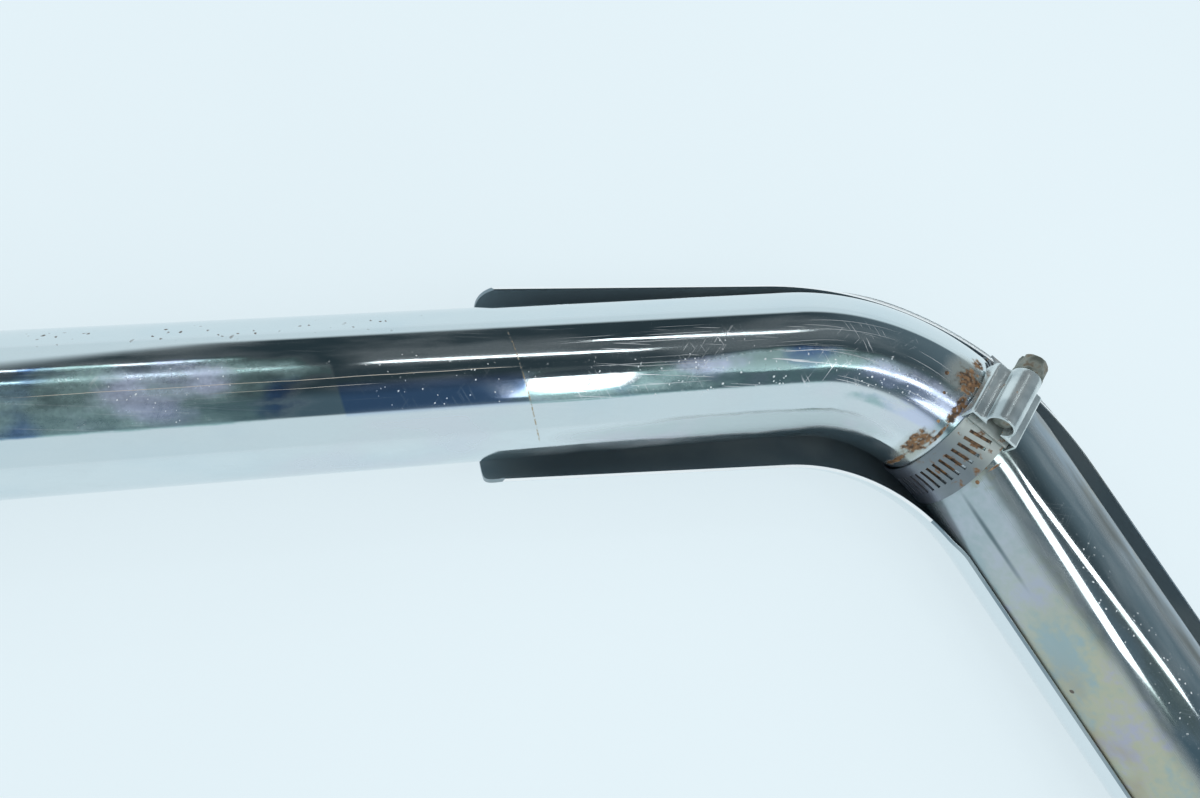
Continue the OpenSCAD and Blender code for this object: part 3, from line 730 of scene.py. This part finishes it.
# From the thread's blunt tip to the head's chamfered end, each cut is (y, radius, hexagon or round).
screw_cuts = [(-half + 2.1 * MM, ROOT_R - 0.4 * MM, False), (-half + 2.35 * MM, ROOT_R, False)]
for i in range(THREAD_TURNS):
    start = (i - THREAD_TURNS / 2) * SLOT_PITCH
    screw_cuts += [(start + part * SLOT_PITCH, r, False)
                   for part, r in ((0.0, ROOT_R), (0.35, THREAD_R), (0.5, THREAD_R), (0.85, ROOT_R))]
head = half + 0.05 * MM
screw_cuts += [(half - 0.4 * MM, ROOT_R, False), (head, ROOT_R, False),
               (head + 0.01 * MM, 4.35 * MM, False), (head + 0.2 * MM, COLLAR_R, False),
               (head + 0.7 * MM, COLLAR_R, False), (head + COLLAR_LEN, 4.30 * MM, False)]
screw_cuts += [(head + COLLAR_LEN + 0.1 * MM, HEX_CORNER, True), (head + HEX_LEN, HEX_CORNER, True),
               (head + HEX_LEN + 0.55 * MM, 4.1 * MM, True), (head + HEX_LEN + 0.9 * MM, 3.6 * MM, True),
               (head + HEX_LEN + COLLAR_LEN - 0.02 * MM, 3.1 * MM, True)]

stainless = Finish("clamp_stainless_stained")
where = stainless.place()
cloud = stainless.noise(where, 130, 5)
fine = stainless.noise(where, 1500, 3)
spots = stainless.noise(where, 420, 5)
steel = stainless.mix(stainless.ramp(cloud, 0.35, 0.65), (0.46, 0.53, 0.55), (0.70, 0.77, 0.78))
film = stainless.both(stainless.ramp(spots, 0.64, 0.70), stainless.ramp(cloud, 0.48, 0.60))
steel = stainless.mix(film, steel, (0.20, 0.12, 0.06))
stainless.set(colour=steel, metal=stainless.math("SUBTRACT", 0.72, stainless.both(film, 0.6)),
              rough=stainless.added(0.15, stainless.both(fine, 0.15)),
              normal=stainless.bump(fine, 0.012 * MM))
strip = Finish("band_stainless_rusted_painted_light")
where = strip.place()
cloud = strip.noise(where, 120, 5)
drawn = strip.noise(where, 900, 3)
spots = strip.noise(where, 380, 6)
up = strip.add("ShaderNodeSeparateXYZ", where).node.outputs["Z"]
steel = strip.mix(cloud, (0.15, 0.18, 0.20), (0.27, 0.30, 0.32))
# Lighter towards the top, painted light from above, and bluish low down, a painted reflection of the pale
# sheet below.
steel = strip.mix(strip.ramp(up, 16 * MM, 21.5 * MM), steel, (0.46, 0.50, 0.48))
steel = strip.mix(strip.both(strip.ramp(up, 9 * MM, 2 * MM), 0.8), steel, (0.30, 0.33, 0.40))
film = strip.both(strip.ramp(spots, 0.58, 0.68), strip.ramp(up, 5 * MM, 12 * MM))
steel = strip.mix(film, steel, strip.mix(drawn, (0.07, 0.04, 0.02), (0.26, 0.14, 0.06)))
strip.set(colour=steel, metal=strip.math("SUBTRACT", 0.85, strip.both(film, 0.75)),
          rough=strip.added(0.30, strip.both(drawn, 0.2)),
          normal=strip.bump(drawn, 0.02 * MM))
zinc = Finish("screw_zinc_dull")
where = zinc.place()
cloud = zinc.noise(where, 300, 5)
pits = zinc.noise(where, 1300, 3)
old = zinc.mix(zinc.ramp(cloud, 0.35, 0.65), (0.13, 0.145, 0.125), (0.30, 0.325, 0.29))
old = zinc.mix(zinc.both(zinc.ramp(cloud, 0.55, 0.68), 0.7), old, (0.16, 0.10, 0.05))
zinc.set(colour=old, metal=0.55, rough=zinc.added(0.36, zinc.both(pits, 0.3)),
         normal=zinc.bump(pits, 0.04 * MM))

SLIT_SIZE = (12 * MM, 2.2 * MM, 1.4 * MM)
for clamp_name, clamp_frame in clamp_frames.items():
    housing = solid_rings(clamp_name + "_housing_folded",
                          [housing_section(y, shrink * MM) for y, shrink in housing_cuts], clamp_frame)
    screw = solid_rings(clamp_name + "_worm_screw", [screw_ring(*cut) for cut in screw_cuts], clamp_frame)
    bpy.ops.mesh.primitive_cube_add(size=1)
    cutter = bpy.context.object
    cutter.matrix_world = (clamp_frame @ Matrix.Translation((0, -head - HEX_LEN - COLLAR_LEN, SCREW_AXIS))
                           @ Matrix.Diagonal((*SLIT_SIZE, 1)))
    slit = screw.modifiers.new("slit", "BOOLEAN")
    slit.operation = "DIFFERENCE"
    slit.solver = "EXACT"
    slit.object = cutter
    bpy.context.view_layer.update()
    notched = bpy.data.meshes.new_from_object(screw.evaluated_get(bpy.context.evaluated_depsgraph_get()))
    screw.modifiers.clear()
    screw.data = notched
    bpy.data.objects.remove(cutter)
    housing.data.materials.append(stainless.material)
    screw.data.materials.clear()
    screw.data.materials.append(zinc.material)
    for piece, slot in ((housing, "clamp_stainless"), (screw, "screw_zinc")):
        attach(piece, "pipe")
    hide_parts(clamp_name + "_clamp_housing")
    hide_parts(clamp_name + "_clamp_screw")
    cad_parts[clamp_name + "_clamp_band"].material_slots[0].material = strip.material
    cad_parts[clamp_name + "_clamp_saddle"].material_slots[0].material = stainless.material


# Shield brackets and port end
# Hat strips of bare sheet spot welded inside the shield, and the turned steel collar with its snap
# ring and the loose flange that two studs pull up against it. They are the solids, with finishes.
def plain_steel(name, dark, light, rough):
    """Bare or thinly plated steel, clouded between two colours."""
    finish = Finish(name)
    where = finish.place()
    cloud = finish.noise(where, 180, 4)
    fine = finish.noise(where, 1100, 2)
    finish.set(colour=finish.mix(cloud, dark, light), metal=1.0,
               rough=finish.added(finish.both(cloud, 0.2), rough - 0.1),
               normal=finish.bump(fine, 0.03 * MM))
    return finish.material


finishes = {
    "bracket": plain_steel("bracket_sheet", (0.10, 0.10, 0.10), (0.26, 0.26, 0.25), 0.5),
    "collar": plain_steel("collar_turned", (0.28, 0.27, 0.25), (0.46, 0.44, 0.40), 0.35),
    "ring": plain_steel("snap_ring_dark", (0.06, 0.06, 0.06), (0.14, 0.13, 0.12), 0.4),
    "flange": plain_steel("flange_plated", (0.42, 0.43, 0.43), (0.58, 0.59, 0.58), 0.35)}
for name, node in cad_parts.items():
    last_word = name.split("_")[-1]
    if last_word in finishes:
        node.material_slots[0].material = finishes[last_word]
